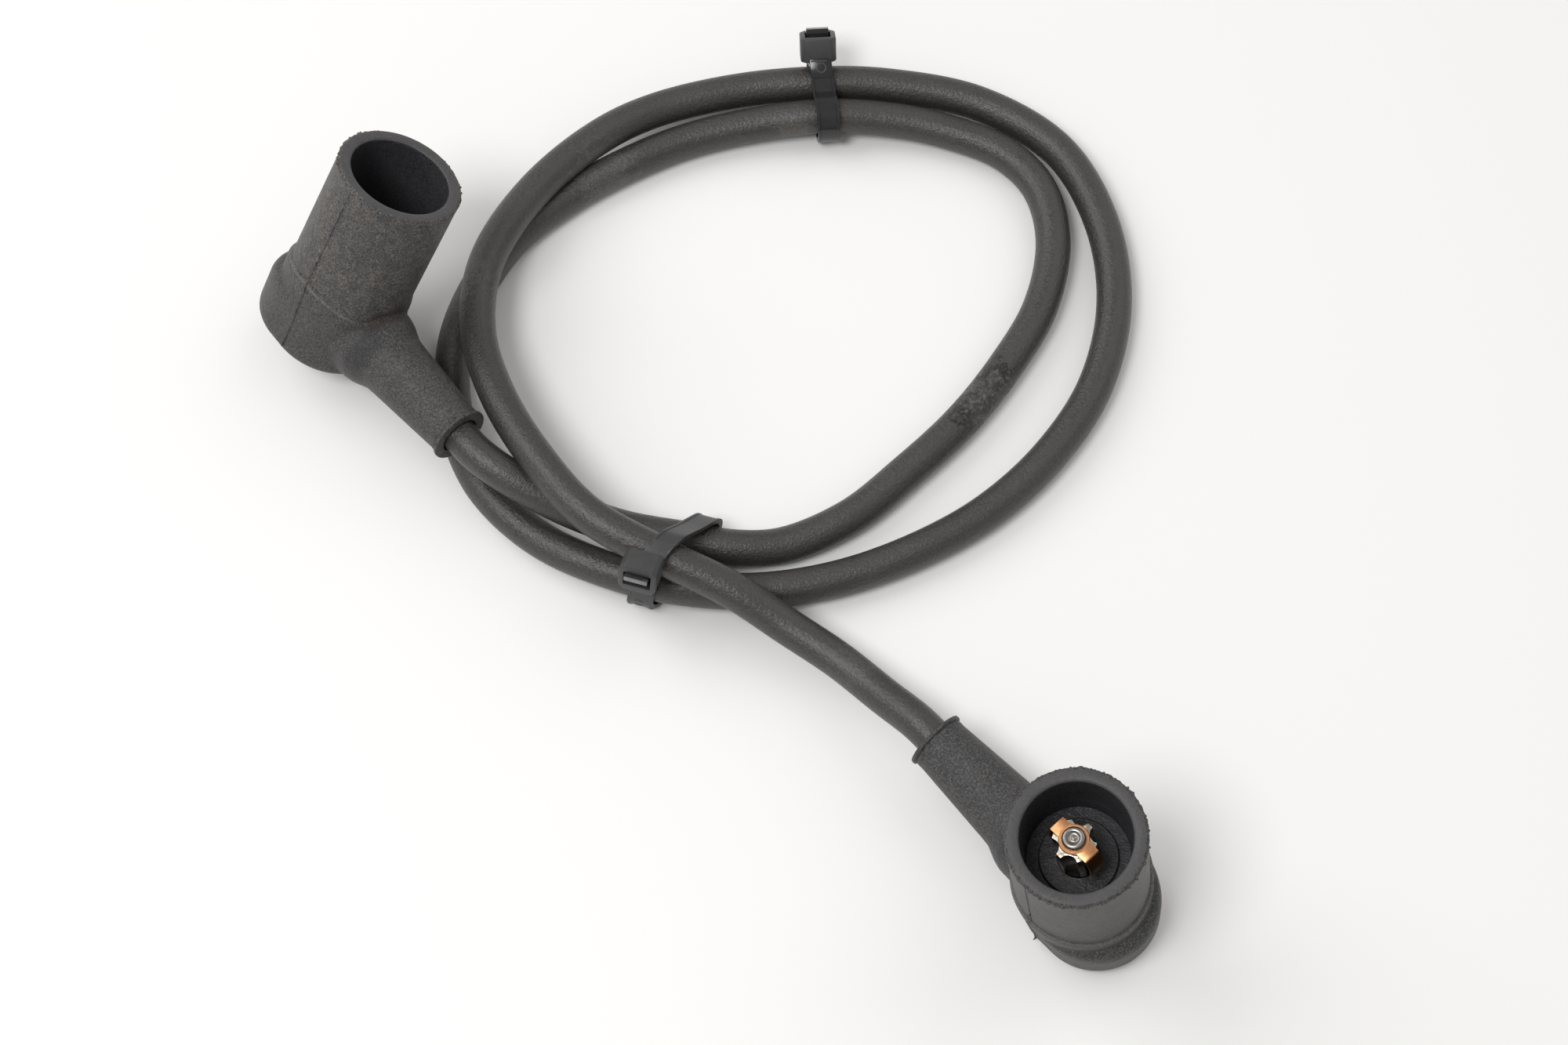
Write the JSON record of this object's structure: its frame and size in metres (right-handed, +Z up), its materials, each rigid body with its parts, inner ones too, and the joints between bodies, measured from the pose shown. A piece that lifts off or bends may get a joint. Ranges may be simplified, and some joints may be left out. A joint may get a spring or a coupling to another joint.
{
  "type": "spark plug wire",
  "caption": "Ignition lead: a thick black cable in two tied loops, with a right-angle rubber boot and a fluted snap contact on each end",
  "frame": {"origin": "middle of the two boots' footprint, on the plane that the lead lies on", "axes": "+Z up from the table; +X runs from the leaning boot (a) towards the upright boot (b) across the widest extent; +Y away from the viewer"},
  "size_m": [0.1703, 0.1936, 0.0489],
  "materials": {
    "boot_rubber": "matte, finely grained moulded rubber",
    "terminal_brass": "plain pressed",
    "contact_tinned": "tinned, slightly dull",
    "strip_copper": "satin copper",
    "rivet_tinned": "rolled, bright",
    "cable_jacket": "satin extruded rubber",
    "tie_nylon": "semi-gloss moulded nylon"
  },
  "bodies": {
    "root": {"boot_a": "boot_rubber", "boot_b": "boot_rubber", "crimp_terminal_a": "terminal_brass", "crimp_terminal_b": "terminal_brass", "contact_body_a": "contact_tinned", "contact_body_b": "contact_tinned", "contact_strip_a": "strip_copper", "contact_strip_b": "strip_copper", "contact_rivet_a": "rivet_tinned", "contact_rivet_b": "rivet_tinned", "ignition_cable": "cable_jacket", "cable_tie_top": "tie_nylon", "cable_tie_bottom": "tie_nylon"}
  },
  "joints": []
}
